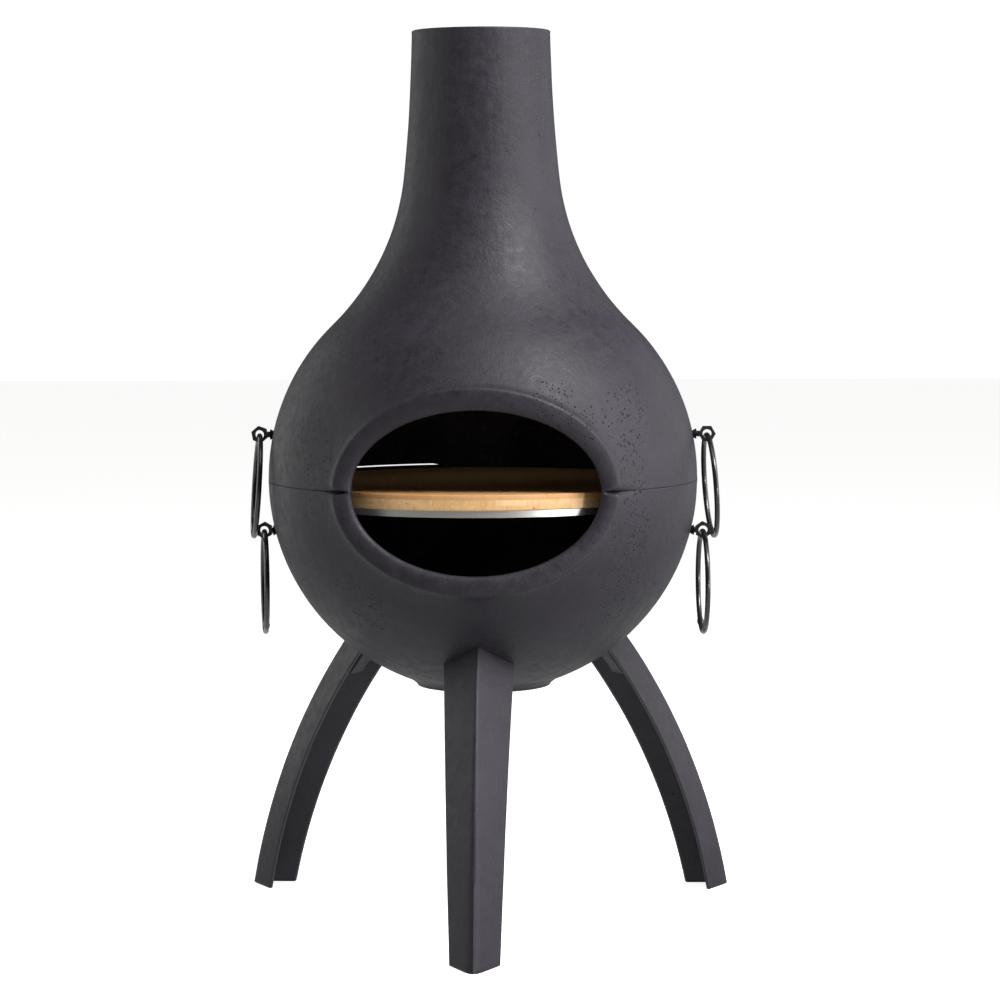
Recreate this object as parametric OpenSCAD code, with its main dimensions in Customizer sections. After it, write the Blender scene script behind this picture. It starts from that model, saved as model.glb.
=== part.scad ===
// Chiminea: a ball-shaped fire bowl and hood in cast iron, on three curved angle-section legs.
// The hood lifts off the bowl by its rings. Inside, a round wooden board lies on a steel grill.
// Everything is drawn around the upright axis of the body, then moved back by axis_y, so that
// the origin is on the ground in the middle of the footprint. The mouth faces -Y.

/* [Body] */
// Height of the chimney's rim above the ground
total_h = 1000; // [970:5:1030]
// Outer radius of the round body
body_r = 243; // [238:1:248]
// Height of the centre of the round body
body_z = 497.5; // [490:0.5:505]
// Thickness of the cast wall
wall = 7; // [6:0.5:8]
// Depth of the joint between bowl and hood below the centre of the body
seam_drop = 1.5; // [0:0.5:4]
// Radius of the flat pad under the bowl
pad_r = 76; // [70:1:80]
// Height of the flat pad above the lowest point of the round body
pad_rise = 7; // [6:0.5:9]

/* [Chimney] */
// Angle up the body at which the neck begins
neck_start = 46; // [44:0.5:48]
// Radius of the hollow curve of the neck
neck_arc_r = 270; // [260:5:280]
// Slope of the wall where the neck ends and the chimney begins
chimney_slope = 6; // [5:0.5:7]
// Radius of the opening at the top of the chimney
flue_r = 71; // [67:1:72]
// Length of the straight part of that opening
flue_len = 60; // [40:5:70]

/* [Mouth] */
// Half the width of the mouth's clear opening
mouth_half_w = 134.5; // [128:0.5:138]
// Half the height of the mouth's clear opening
mouth_half_h = 89; // [84:0.5:92]
// Width of the lip around the mouth
lip_w = 21; // [18:0.5:23]
// How far the lip stands out of the body
lip_out = 8; // [6:0.5:10]

/* [Legs] */
// Distance of a foot's outer ridge from the axis
foot_r = 327; // [320:1:334]
// Slope of the ridge from upright at the foot
foot_slope = 11.5; // [10.5:0.5:12.5]
// Radius of the ridge's curve
leg_arc_r = 750; // [740:5:760]
// Half the width of a leg at the foot
foot_half_w = 27.7; // [26:0.1:30]
// Half the width of a leg at its top
top_half_w = 41; // [39:0.5:43]
// Depth of the leg's section behind its ridge
leg_depth = 41.5; // [40:0.5:43]
// Thickness of a leg's two flanges
flange_t = 5; // [4:0.5:6]

/* [Board and grill] */
// Radius of the serving board
board_r = 215; // [212:0.5:216]
// Thickness of the serving board
board_t = 17.2; // [16:0.2:17.6]
// Outer radius of the grill's rim
grill_r = 213; // [210:0.5:214]
// Height of the grill's rim band
grill_h = 7.4; // [7:0.1:8]
// Diameter of the grill's bars
bar_d = 5; // [4:0.5:5]
// Distance between two bars
bar_pitch = 19; // [16:0.5:24]

/* [Rings] */
// Outer diameter of a lifting ring
ring_d = 120; // [116:1:121]
// Diameter of the ring's wire
wire_d = 6; // [5.5:0.1:6]
// Width across the flats of the eyes that hold the rings
eye_flats = 17; // [16:0.5:17]
// Diameter of the hole in an eye
eye_hole_d = 10.2; // [10:0.1:10.5]
// Length of an eye along its hole
eye_len = 8; // [6:0.5:8]
// Distance of the upper eyes' centres from the axis
upper_eye_x = 253.7; // [253:0.1:255]
// Distance of the lower eyes' centres from the axis
lower_eye_x = 249.3; // [249:0.1:250.5]

/* [Hidden] */
$fn = 96;
fine = 180;

iron = [0.20, 0.20, 0.21];
black = [0.07, 0.07, 0.08];
zinc = [0.62, 0.62, 0.60];
steel = [0.66, 0.64, 0.60];
bamboo = [0.80, 0.58, 0.33];

// A little more than nothing, so that cutters pass through the faces that they cut
over = 1;
// The body's axis lies behind the middle of the footprint
axis_y = (foot_r - body_r) / 2;
seam_z = body_z - seam_drop;
inner_r = body_r - wall;
pad_z = body_z - body_r + pad_rise;
floor_z = pad_z + wall;

// Neck: a hollow curve that leaves the body at neck_start and ends at chimney_slope
neck_foot_r = body_r * cos(neck_start);
neck_foot_z = body_z + body_r * sin(neck_start);
neck_centre_r = neck_foot_r + neck_arc_r * cos(neck_start);
neck_centre_z = neck_foot_z + neck_arc_r * sin(neck_start);
neck_top_r = neck_centre_r - neck_arc_r * cos(chimney_slope);
neck_top_z = neck_centre_z - neck_arc_r * sin(chimney_slope);
// Chimney: a very slow curve that stands almost upright at the rim
rim_slope = 1;
chimney_arc_r = (total_h - neck_top_z) / (sin(chimney_slope) - sin(rim_slope));
neck_steps = 14;
chimney_steps = 6;

function neck_point(a, inset) =
    [neck_centre_r - (neck_arc_r + inset) * cos(a), neck_centre_z - (neck_arc_r + inset) * sin(a)];

function chimney_point(a, inset) =
    [neck_top_r + chimney_arc_r * cos(chimney_slope) - (chimney_arc_r + inset) * cos(a),
     neck_top_z + chimney_arc_r * sin(chimney_slope) - (chimney_arc_r + inset) * sin(a)];

// The outline from the top of the ball to the chimney's rim, moved inwards by inset
function stack_outline(inset) = concat(
    [for (i = [0 : neck_steps])
        neck_point(neck_start + (chimney_slope - neck_start) * i / neck_steps, inset)],
    [for (i = [1 : chimney_steps])
        chimney_point(chimney_slope + (rim_slope - chimney_slope) * i / chimney_steps, inset)]);

// Mouth: an ellipse seen from the front
mouth_steps = 72;
mouth_back_y = -120;
mouth_front_y = -280;
mouth_corner_r = 6;

function ellipse(half_w, half_h) = [for (i = [0 : mouth_steps - 1])
    [half_w * cos(360 * i / mouth_steps), half_h * sin(360 * i / mouth_steps)]];

// Gap left by the uneven joint, at the back on the left
gap_h = 2;
gap_from = 102;
gap_to = 148;

// Brackets cast inside the bowl: a ledge for the grill and a tab that keeps the hood in place
bracket_w = 28;
bracket_angles = [90, 210, 330];
ledge_reach = 204;
ledge_h = 17;
tab_t = 6;
tab_rise = 12;
tab_clearance = 1.2;

// Legs
leg_angles = [270, 30, 150];
leg_steps = 14;
leg_top_slope = 42;
boss_w = 27;
boss_z = 262;
boss_slope = 37;
boss_len = 120;
boss_depth = 36;
boss_start = 3.5;
// Bolt that holds a leg, driven outwards from inside the bowl
leg_bolt_angle = 50;
bolt_r = 4.9;
bolt_hole_r = 5.0;
bolt_wall_hole_r = 5.6;
bolt_grip = 27;
bolt_flats = 17;
bolt_head_h = 6.4;
bolt_pad_r = 13;
bolt_pad_h = 3;
washer_r = 10.5;
washer_t = 2;

// Grill and board
grill_top_z = seam_z - 19;
grill_z = grill_top_z - grill_h;
board_z = grill_top_z;
board_bevel = 1.8;
rim_t = 4;
cross_bar_y = 80;

// Eyes and rings
upper_eye_z = body_z + 49.2;
lower_eye_z = body_z - 60.1;
stud_r = 3;
stud_hole_r = 3.05;
stud_wall_hole_r = 3.3;
outer_nut_t = 4.5;
outer_nut_small_r = 3.8;
outer_nut_large_r = 6.2;
inner_nut_flats = 10;
inner_nut_t = 5;
eye_washer_r = 6.2;
eye_washer_t = 1.6;
stud_end = 3;
spot_r = 6.8;
outer_spot_r = 5;
ring_r = (ring_d - wire_d) / 2;
// The wire hangs in the lower part of the eye's hole
wire_drop = 1.6;

left = -1;
right = 1;

// Distance from the axis to a sphere's surface at height z
function ball_x(r, z) = sqrt(r * r - (z - body_z) * (z - body_z));
function outer_spot_x(z) = ball_x(body_r, z) - 0.9;
function inner_spot_x(z) = ball_x(inner_r, z) + 1.4;
function hex_r(flats) = flats / sqrt(3);

module at_axis() {
    translate([0, axis_y, 0]) children();
}

// The half-space above or below the joint between bowl and hood
module above(z) {
    translate([-400, -400, z]) cube([800, 800, 1000]);
}

module below(z) {
    translate([-400, -400, z - 1000]) cube([800, 800, 1000]);
}

module ball(r) {
    translate([0, 0, body_z]) sphere(r = r, $fn = fine);
}

// A plug through the front wall, with the shape of an ellipse
module mouth_plug(half_w, half_h) {
    translate([0, mouth_back_y, body_z - seam_drop])
        rotate([90, 0, 0])
            linear_extrude(height = mouth_back_y - mouth_front_y)
                polygon(ellipse(half_w, half_h));
}

// Outer form of the ball with the lip around the mouth
module ball_with_lip() {
    ball(body_r);
    intersection() {
        ball(body_r + lip_out);
        mouth_plug(mouth_half_w + lip_w + 1, mouth_half_h + lip_w + 1);
    }
}

// What is cut away at the mouth: the clear opening, and a wider step in the lip
module mouth_cut() {
    mouth_plug(mouth_half_w, mouth_half_h);
    difference() {
        mouth_plug(mouth_half_w + lip_w / 2, mouth_half_h + lip_w / 2);
        ball(body_r);
    }
}

// A body turned about the axis, drawn for the direction +X
module turned(angle) {
    rotate([0, 0, angle]) children();
}

// Frame at a leg's bolt: +Z points out of the bowl along the bolt, 0 is the centre of the ball
module bolt_frame(angle) {
    translate([0, 0, body_z])
        turned(angle)
            rotate([0, 90 + leg_bolt_angle, 0])
                children();
}

module bracket(angle) {
    turned(angle) {
        intersection() {
            translate([ledge_reach, -bracket_w / 2, grill_z - ledge_h])
                cube([body_r - ledge_reach, bracket_w, ledge_h]);
            ball(inner_r + wall / 2);
        }
        translate([inner_r - tab_clearance - tab_t, -bracket_w / 2, grill_z - ledge_h])
            cube([tab_t, bracket_w, seam_z + tab_rise - grill_z + ledge_h]);
        translate([inner_r - tab_clearance - tab_t, -bracket_w / 2, grill_z - ledge_h])
            cube([tab_t + tab_clearance + wall / 2, bracket_w, seam_z - grill_z + ledge_h]);
    }
}

module lower_bowl() {
    color(iron) at_axis() difference() {
        union() {
            difference() {
                intersection() {
                    union() {
                        ball_with_lip();
                        translate([0, 0, pad_z]) cylinder(r = pad_r, h = 20);
                    }
                    below(seam_z);
                    above(pad_z);
                }
                intersection() {
                    ball(inner_r);
                    above(floor_z);
                }
                mouth_cut();
            }
            for (angle = bracket_angles) bracket(angle);
            intersection() {
                for (angle = leg_angles)
                    bolt_frame(angle)
                        translate([0, 0, inner_r - bolt_pad_h])
                            cylinder(r = bolt_pad_r, h = wall / 2 + bolt_pad_h);
                ball(inner_r + wall / 2);
            }
        }
        for (angle = leg_angles)
            bolt_frame(angle)
                translate([0, 0, inner_r - 30]) cylinder(r = bolt_wall_hole_r, h = 60);
        for (side = [left, right]) stud_hole(side, lower_eye_z);
    }
}

// Hole for an eye bolt, with a flat spot on each side of the wall
module stud_hole(side, z) {
    mirror([side == left ? 1 : 0, 0, 0]) translate([0, 0, z]) rotate([0, 90, 0]) {
        translate([0, 0, inner_r - 30]) cylinder(r = stud_wall_hole_r, h = 60);
        translate([0, 0, inner_r - 30]) cylinder(r = spot_r, h = inner_spot_x(z) - inner_r + 30);
        translate([0, 0, outer_spot_x(z)]) cylinder(r = outer_spot_r, h = 20);
    }
}

// Neck and chimney as a solid of revolution, moved inwards by inset, closed down to the axis
module stack_solid(inset, top) {
    outline = stack_outline(inset);
    rotate_extrude($fn = fine)
        polygon(concat([[0, outline[0][1]]], outline, [[outline[len(outline) - 1][0], top], [0, top]]));
}

module hood_solid() {
    intersection() {
        ball_with_lip();
        above(seam_z);
        below(neck_foot_z);
    }
    intersection() {
        stack_solid(0, total_h);
        below(total_h);
    }
}

module hood_hollow() {
    inner_foot_z = body_z + inner_r * sin(neck_start);
    intersection() {
        ball(inner_r);
        below(inner_foot_z);
    }
    intersection() {
        stack_solid(wall, total_h);
        below(total_h - flue_len);
    }
    translate([0, 0, total_h - flue_len - over]) cylinder(r = flue_r, h = flue_len + 2 * over);
}

module hood() {
    color(iron) at_axis() difference() {
        hood_solid();
        hood_hollow();
        mouth_cut();
        for (side = [left, right]) stud_hole(side, upper_eye_z);
        rotate([0, 0, gap_from])
            rotate_extrude(angle = gap_to - gap_from, $fn = fine)
                translate([inner_r - 20, seam_z - over]) square([60, gap_h + over]);
    }
}

// Leg. The ridge's curve is given by its slope a from upright.
function ridge_r(a) = foot_r - leg_arc_r * (cos(foot_slope) - cos(a));
function ridge_z(a) = leg_arc_r * (sin(a) - sin(foot_slope));
function leg_half_w(a) =
    foot_half_w + (top_half_w - foot_half_w) * (a - foot_slope) / (leg_top_slope - foot_slope);
// A point of the section: depth behind the ridge and distance to the side
function leg_point(a, depth, side) =
    [ridge_r(a) - depth * cos(a), side, ridge_z(a) - depth * sin(a)];

// The angle section: ridge, outer edges and inner corner
function angle_section(a) =
    let (w = leg_half_w(a))
    let (half = atan(w / leg_depth))
    let (inner_w = w - flange_t / cos(half))
    [leg_point(a, 0, 0), leg_point(a, leg_depth, w), leg_point(a, leg_depth, inner_w),
     leg_point(a, flange_t / sin(half), 0), leg_point(a, leg_depth, -inner_w),
     leg_point(a, leg_depth, -w)];

// A solid through a row of sections with equal numbers of points. ends lists an end's triangles.
module loft(rows, ends) {
    n = len(rows[0]);
    last = n * (len(rows) - 1);
    points = [for (row = rows) each row];
    sides = [for (k = [0 : len(rows) - 2]) for (i = [0 : n - 1])
        let (j = (i + 1) % n)
        each [[k * n + j, k * n + i, k * n + n + i], [k * n + n + j, k * n + j, k * n + n + i]]];
    start = ends;
    finish = [for (t = ends) [last + t[2], last + t[1], last + t[0]]];
    polyhedron(points, concat(sides, start, finish));
}

leg_slopes = [for (i = [0 : leg_steps]) foot_slope + (leg_top_slope - foot_slope) * i / leg_steps];

// Boss that fills the angle at its top, where the leg's bolt is screwed in
module leg_boss() {
    a = boss_slope;
    side = boss_w / 2;
    side_depth = boss_start + side * leg_depth / leg_half_w(a);
    difference() {
        translate([ridge_r(a), 0, ridge_z(a)]) rotate([0, -a, 0])
            translate([0, 0, -boss_len / 2]) linear_extrude(height = boss_len)
                polygon([[-boss_start, 0], [-side_depth, side], [-boss_depth, side],
                         [-boss_depth, -side], [-side_depth, -side]]);
        below(boss_z);
    }
}

module leg(angle) {
    color(iron) at_axis() difference() {
        turned(angle) {
            loft([for (a = leg_slopes) angle_section(a)], [[0, 1, 2], [0, 2, 3], [0, 3, 4], [0, 4, 5]]);
            leg_boss();
        }
        ball(body_r);
        below(0);
        bolt_frame(angle)
            translate([0, 0, body_r - 20]) cylinder(r = bolt_hole_r, h = 20 + bolt_grip + over);
    }
}

module front_leg() {
    leg(leg_angles[0]);
}

module rear_right_leg() {
    leg(leg_angles[1]);
}

module rear_left_leg() {
    leg(leg_angles[2]);
}

module leg_bolts() {
    head_z = inner_r - bolt_pad_h - washer_t;
    color(zinc) at_axis() for (angle = leg_angles) bolt_frame(angle) {
        translate([0, 0, head_z - bolt_head_h])
            cylinder(r = hex_r(bolt_flats), h = bolt_head_h, $fn = 6);
        translate([0, 0, head_z]) cylinder(r = bolt_r, h = body_r + bolt_grip - head_z);
    }
}

module leg_washers() {
    color(zinc) at_axis() for (angle = leg_angles) bolt_frame(angle)
        translate([0, 0, inner_r - bolt_pad_h - washer_t]) difference() {
            cylinder(r = washer_r, h = washer_t);
            translate([0, 0, -over]) cylinder(r = bolt_hole_r, h = washer_t + 2 * over);
        }
}

// Frame at an eye bolt: +Z points out of the body, 0 is the body's axis
module stud_frame(side, z) {
    at_axis() mirror([side == left ? 1 : 0, 0, 0]) translate([0, 0, z]) rotate([0, 90, 0]) children();
}

// Eye bolt: a threaded stud with a hexagonal eye welded to its end
module eye_bolt(side, x, z, turn) {
    inner_end = inner_spot_x(z) - eye_washer_t - inner_nut_t - stud_end;
    color(black) difference() {
        union() {
            stud_frame(side, z) translate([0, 0, inner_end]) cylinder(r = stud_r, h = x - inner_end);
            at_axis() translate([side * x, eye_len / 2, z])
                rotate([90, turn, 0]) cylinder(r = hex_r(eye_flats), h = eye_len, $fn = 6);
        }
        at_axis() translate([side * x, eye_len, z])
            rotate([90, 0, 0]) cylinder(r = eye_hole_d / 2, h = 2 * eye_len);
    }
}

module left_upper_eye_bolt() {
    eye_bolt(left, upper_eye_x, upper_eye_z, 20);
}

module right_upper_eye_bolt() {
    eye_bolt(right, upper_eye_x, upper_eye_z, 0);
}

module left_lower_eye_bolt() {
    eye_bolt(left, lower_eye_x, lower_eye_z, 30);
}

module right_lower_eye_bolt() {
    eye_bolt(right, lower_eye_x, lower_eye_z, 25);
}

module outer_nuts(z) {
    color(black) for (side = [left, right]) stud_frame(side, z)
        translate([0, 0, outer_spot_x(z)]) difference() {
            cylinder(r1 = outer_nut_small_r, r2 = outer_nut_large_r, h = outer_nut_t);
            translate([0, 0, -over]) cylinder(r = stud_hole_r, h = outer_nut_t + 2 * over);
        }
}

module eye_washers(z) {
    color(zinc) for (side = [left, right]) stud_frame(side, z)
        translate([0, 0, inner_spot_x(z) - eye_washer_t]) difference() {
            cylinder(r = eye_washer_r, h = eye_washer_t);
            translate([0, 0, -over]) cylinder(r = stud_hole_r, h = eye_washer_t + 2 * over);
        }
}

module inner_nuts(z) {
    color(zinc) for (side = [left, right]) stud_frame(side, z)
        translate([0, 0, inner_spot_x(z) - eye_washer_t - inner_nut_t]) difference() {
            cylinder(r = hex_r(inner_nut_flats), h = inner_nut_t, $fn = 6);
            translate([0, 0, -over]) cylinder(r = stud_hole_r, h = inner_nut_t + 2 * over);
        }
}

module upper_eye_outer_nuts() {
    outer_nuts(upper_eye_z);
}

module upper_eye_washers() {
    eye_washers(upper_eye_z);
}

module upper_eye_inner_nuts() {
    inner_nuts(upper_eye_z);
}

module lower_eye_outer_nuts() {
    outer_nuts(lower_eye_z);
}

module lower_eye_washers() {
    eye_washers(lower_eye_z);
}

module lower_eye_inner_nuts() {
    inner_nuts(lower_eye_z);
}

// Lifting ring. yaw turns it about the upright, lean swings its bottom away from the body.
module ring(side, x, z, yaw, lean) {
    color(black) at_axis() translate([side * x, 0, z - wire_drop])
        rotate([0, -side * lean, yaw])
            translate([0, 0, -ring_r])
                rotate([0, 90, 0])
                    rotate_extrude($fn = fine) translate([ring_r, 0]) circle(r = wire_d / 2, $fn = 48);
}

module left_upper_ring() {
    ring(left, upper_eye_x, upper_eye_z, 8.6, 4);
}

module right_upper_ring() {
    ring(right, upper_eye_x, upper_eye_z, 5, 3.9);
}

module left_lower_ring() {
    ring(left, lower_eye_x, lower_eye_z, 8.4, 0);
}

module right_lower_ring() {
    ring(right, lower_eye_x, lower_eye_z, 4, 0);
}

module grill_rim() {
    color(steel) at_axis() translate([0, 0, grill_z]) difference() {
        cylinder(r = grill_r, h = grill_h, $fn = fine);
        translate([0, 0, -over]) cylinder(r = grill_r - rim_t, h = grill_h + 2 * over, $fn = fine);
    }
}

// Round bars across the rim's inside, cut to its curve
module rods(z, along_x, offsets) {
    color(steel) at_axis() intersection() {
        translate([0, 0, z]) for (offset = offsets) rotate([0, 0, along_x ? 0 : 90])
            translate([-grill_r, offset, 0]) rotate([0, 90, 0]) cylinder(d = bar_d, h = 2 * grill_r, $fn = 32);
        translate([0, 0, z - bar_d]) cylinder(r = grill_r - rim_t, h = 2 * bar_d, $fn = fine);
    }
}

module grill_bars() {
    count = floor((grill_r - rim_t - bar_d) / bar_pitch);
    rods(grill_top_z - bar_d / 2, false, [for (i = [-count : count]) i * bar_pitch]);
}

module grill_cross_bars() {
    rods(grill_top_z - 1.5 * bar_d, true, [-cross_bar_y, cross_bar_y]);
}

module serving_board() {
    color(bamboo) at_axis() translate([0, 0, board_z])
        rotate_extrude($fn = fine)
            polygon([[0, 0], [board_r - board_bevel / 2, 0], [board_r, board_bevel / 2],
                     [board_r, board_t - board_bevel], [board_r - board_bevel, board_t], [0, board_t]]);
}

lower_bowl();
front_leg();
rear_left_leg();
rear_right_leg();
leg_bolts();
leg_washers();
left_lower_eye_bolt();
right_lower_eye_bolt();
lower_eye_outer_nuts();
lower_eye_washers();
lower_eye_inner_nuts();
grill_rim();
grill_bars();
grill_cross_bars();
serving_board();
hood();
left_upper_eye_bolt();
right_upper_eye_bolt();
upper_eye_outer_nuts();
upper_eye_washers();
upper_eye_inner_nuts();
left_upper_ring();
right_upper_ring();
left_lower_ring();
right_lower_ring();
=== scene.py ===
"""Chiminea: a two-part cast-iron body on three legs, with a serving board, grill and lifting rings."""

from math import asin, atan, cos, exp, log, pi, radians, sin, sqrt, tan

import bmesh
import bpy
from bpy.props import FloatProperty, FloatVectorProperty, IntProperty, PointerProperty
from bpy.types import Operator, Panel, PropertyGroup
from mathutils import Matrix, Vector, noise


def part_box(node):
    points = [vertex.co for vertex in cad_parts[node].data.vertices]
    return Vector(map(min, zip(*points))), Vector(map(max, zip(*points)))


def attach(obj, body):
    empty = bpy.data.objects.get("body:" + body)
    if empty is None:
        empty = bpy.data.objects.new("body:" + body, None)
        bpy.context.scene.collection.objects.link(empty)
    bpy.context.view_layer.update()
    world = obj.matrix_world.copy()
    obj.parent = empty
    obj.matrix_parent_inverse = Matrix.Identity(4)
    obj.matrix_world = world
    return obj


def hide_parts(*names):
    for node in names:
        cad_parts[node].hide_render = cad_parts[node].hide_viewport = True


bl_info = {
    "name": "Chiminea",
    "version": (1, 0, 0),
    "blender": (4, 5, 0),
    "location": "3D View > Sidebar > Chiminea",
    "description": "Builds a cast-iron chiminea around its packed frame",
    "category": "Object",
}

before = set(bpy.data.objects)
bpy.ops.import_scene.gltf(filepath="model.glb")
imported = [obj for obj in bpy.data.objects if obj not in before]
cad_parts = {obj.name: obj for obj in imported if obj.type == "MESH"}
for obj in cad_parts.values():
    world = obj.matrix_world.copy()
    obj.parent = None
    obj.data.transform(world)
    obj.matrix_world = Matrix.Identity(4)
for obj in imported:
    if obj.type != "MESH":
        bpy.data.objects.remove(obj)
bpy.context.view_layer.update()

# Measures that the frame gives
HOOD_LOW, HOOD_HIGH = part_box("hood")
BOWL_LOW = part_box("lower_bowl")[0]
BOARD_LOW, BOARD_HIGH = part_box("serving_board")
LEG_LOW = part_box("front_leg")[0]
AXIS_Y = (BOARD_LOW.y + BOARD_HIGH.y) / 2
TOP_Z = HOOD_HIGH.z
SEAM_Z = HOOD_LOW.z
PAD_Z = BOWL_LOW.z
BODY_R = (HOOD_HIGH.x - HOOD_LOW.x) / 2
BOARD_R = (BOARD_HIGH.x - BOARD_LOW.x) / 2
BALL_Z = SEAM_Z + 0.0015
FOOT_R = AXIS_Y - LEG_LOW.y

MM = 0.001
TAU = 2 * pi


def rad(angle):
    return radians(angle)


def lerp(a, b, t):
    """The value t of the way from a to b."""
    return a + (b - a) * t


# ---------------------------------------------------------------- properties


def metres(name, description, default):
    return FloatProperty(name=name, description=description, default=default, unit="LENGTH")


def watts(name, description, default):
    return FloatProperty(name=name, description=description, default=default, unit="POWER")


def degrees(name, description, default):
    return FloatProperty(name=name, description=description, default=rad(default), subtype="ANGLE")


def shade(name, description, default):
    return FloatVectorProperty(
        name=name, description=description, default=default, subtype="COLOR", min=0, max=1
    )


class ChimineaBodySizes(PropertyGroup):
    """Sizes and colours of the hood and the bowl"""

    wall: metres("Wall", "Thickness of the casting", 0.007)
    neck_start: degrees("Neck start", "Elevation on the ball where the neck begins", 46)
    neck_arc: metres("Neck arc", "Radius of the neck's hollow curve", 0.27)
    chimney_slope: degrees("Chimney slope", "Slope of the chimney where it leaves the neck", 6)
    rim_slope: degrees("Rim slope", "Slope of the chimney at its rim", 1)
    flue: metres("Flue radius", "Radius of the bore at the rim", 0.071)
    mouth_width: metres("Mouth half width", "Half the opening's width", 0.1345)
    mouth_height: metres("Mouth half height", "Half the opening's height", 0.089)
    lip_width: metres("Lip width", "From the opening to the lip's crest", 0.0205)
    lip_height: metres("Lip height", "How proud the lip's crest stands", 0.0075)
    lip_fillet: metres("Lip fillet", "Width of the soft hollow outside the crest", 0.028)
    unevenness: metres("Unevenness", "Depth of the casting's slow waves", 0.0004)
    iron: shade("Iron", "Colour of the heat-resistant paint", (0.0192, 0.0168, 0.0230))
    # The inside is much lighter than the iron outside: painted light standing in for the light in the cavity
    inside_painted_light: shade("Lightened inside", "Colour of the lightened inside", (0.078, 0.075, 0.088))


class ChimineaLegSizes(PropertyGroup):
    """Sizes of the three legs"""

    arc: metres("Leg arc", "Radius of the ridge's curve", 0.75)
    foot_slope: degrees("Foot slope", "Slope of the ridge at the floor", 11.5)
    top_slope: degrees("Top slope", "Slope of the ridge at its top", 42)
    foot_width: metres("Foot half width", "Half the width at the floor", 0.0277)
    top_width: metres("Top half width", "Half the width at the top", 0.041)
    depth: metres("Leg depth", "From the ridge to the edges", 0.0415)
    flange: metres("Flange", "Thickness of the two sides", 0.005)
    ridge_round: metres("Ridge rounding", "Radius of the ridge", 0.0035)
    foot_round: metres("Foot rounding", "Radius of the ridge at the floor", 0.011)
    edge_round: metres("Edge rounding", "Radius of the outer edges", 0.0014)


class ChimineaBoardSizes(PropertyGroup):
    """Sizes and colours of the serving board and the grill"""

    bevel: metres("Board bevel", "Bevel of the board's edges", 0.0016)
    groove: metres("Glue line", "Depth of the lines between the layers", 0.0002)
    strip: metres("Strip width", "Width of one wooden strip", 0.034)
    pale_wood: shade("Pale wood", "Colour of the lightest strips", (0.90, 0.62, 0.315))
    dark_wood: shade("Dark wood", "Colour of the darkest strips", (0.68, 0.375, 0.145))
    steel: shade("Grill steel", "Colour of the bare steel", (0.60, 0.575, 0.54))


class ChimineaRingSizes(PropertyGroup):
    """Sizes and colour of the rings and their bolts"""

    wire: metres("Wire", "Diameter of the ring's wire", 0.006)
    weld: metres("Weld", "Height of the weld on a ring", 0.0009)
    turns: IntProperty(
        name="Ring segments", description="Segments round a ring", default=128, min=24, max=512
    )
    lacquer: shade("Lacquer", "Colour of the glossy black steel", (0.010, 0.010, 0.011))
    zinc: shade("Zinc", "Colour of the plated steel", (0.55, 0.56, 0.57))


class ChimineaStageSizes(PropertyGroup):
    """Camera, floor and light"""

    azimuth: degrees("Azimuth", "Camera's angle round the body", 2.26)
    distance: metres("Distance", "Camera's distance from the axis", 3.6353)
    height: metres("Height", "Camera's height", 0.7665)
    pitch: degrees("Pitch", "Camera's tilt", -4.638)
    pan: degrees("Pan", "Camera's pan", -0.3015)
    roll: degrees("Roll", "Camera's roll", -0.2477)
    lens: FloatProperty(
        name="Lens", description="Focal length for a 36 mm sensor", default=115.6176, min=1, unit="CAMERA"
    )
    key: watts("Key light", "Power of the key light", 98)
    fill: watts("Strip light", "Power of the low front light", 20)
    right_wall: watts("Right wall light", "Power of the wide light on the right", 40)
    left_wall: watts("Left wall light", "Power of the wide light on the left", 15)
    rim_light: watts("Rim lights", "Power of the lights behind", 8)
    room: FloatProperty(name="Room light", description="Strength of the room's light", default=0.075)
    bounce: FloatProperty(name="Bounce", description="Strength of the light from below", default=0.78)
    overhead: watts("Overhead light", "Power of the light above", 12)
    glow: FloatProperty(name="Floor glow", description="Light that the white floor gives off", default=1.0)
    floor: shade("Floor", "Colour of the floor", (0.88, 0.88, 0.875))


def settings(group):
    return getattr(bpy.context.scene, "chiminea_" + group)


# ---------------------------------------------------------------- meshes

# Points closer than this are one point, in metres
WELD_DISTANCE = 1e-5


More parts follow.
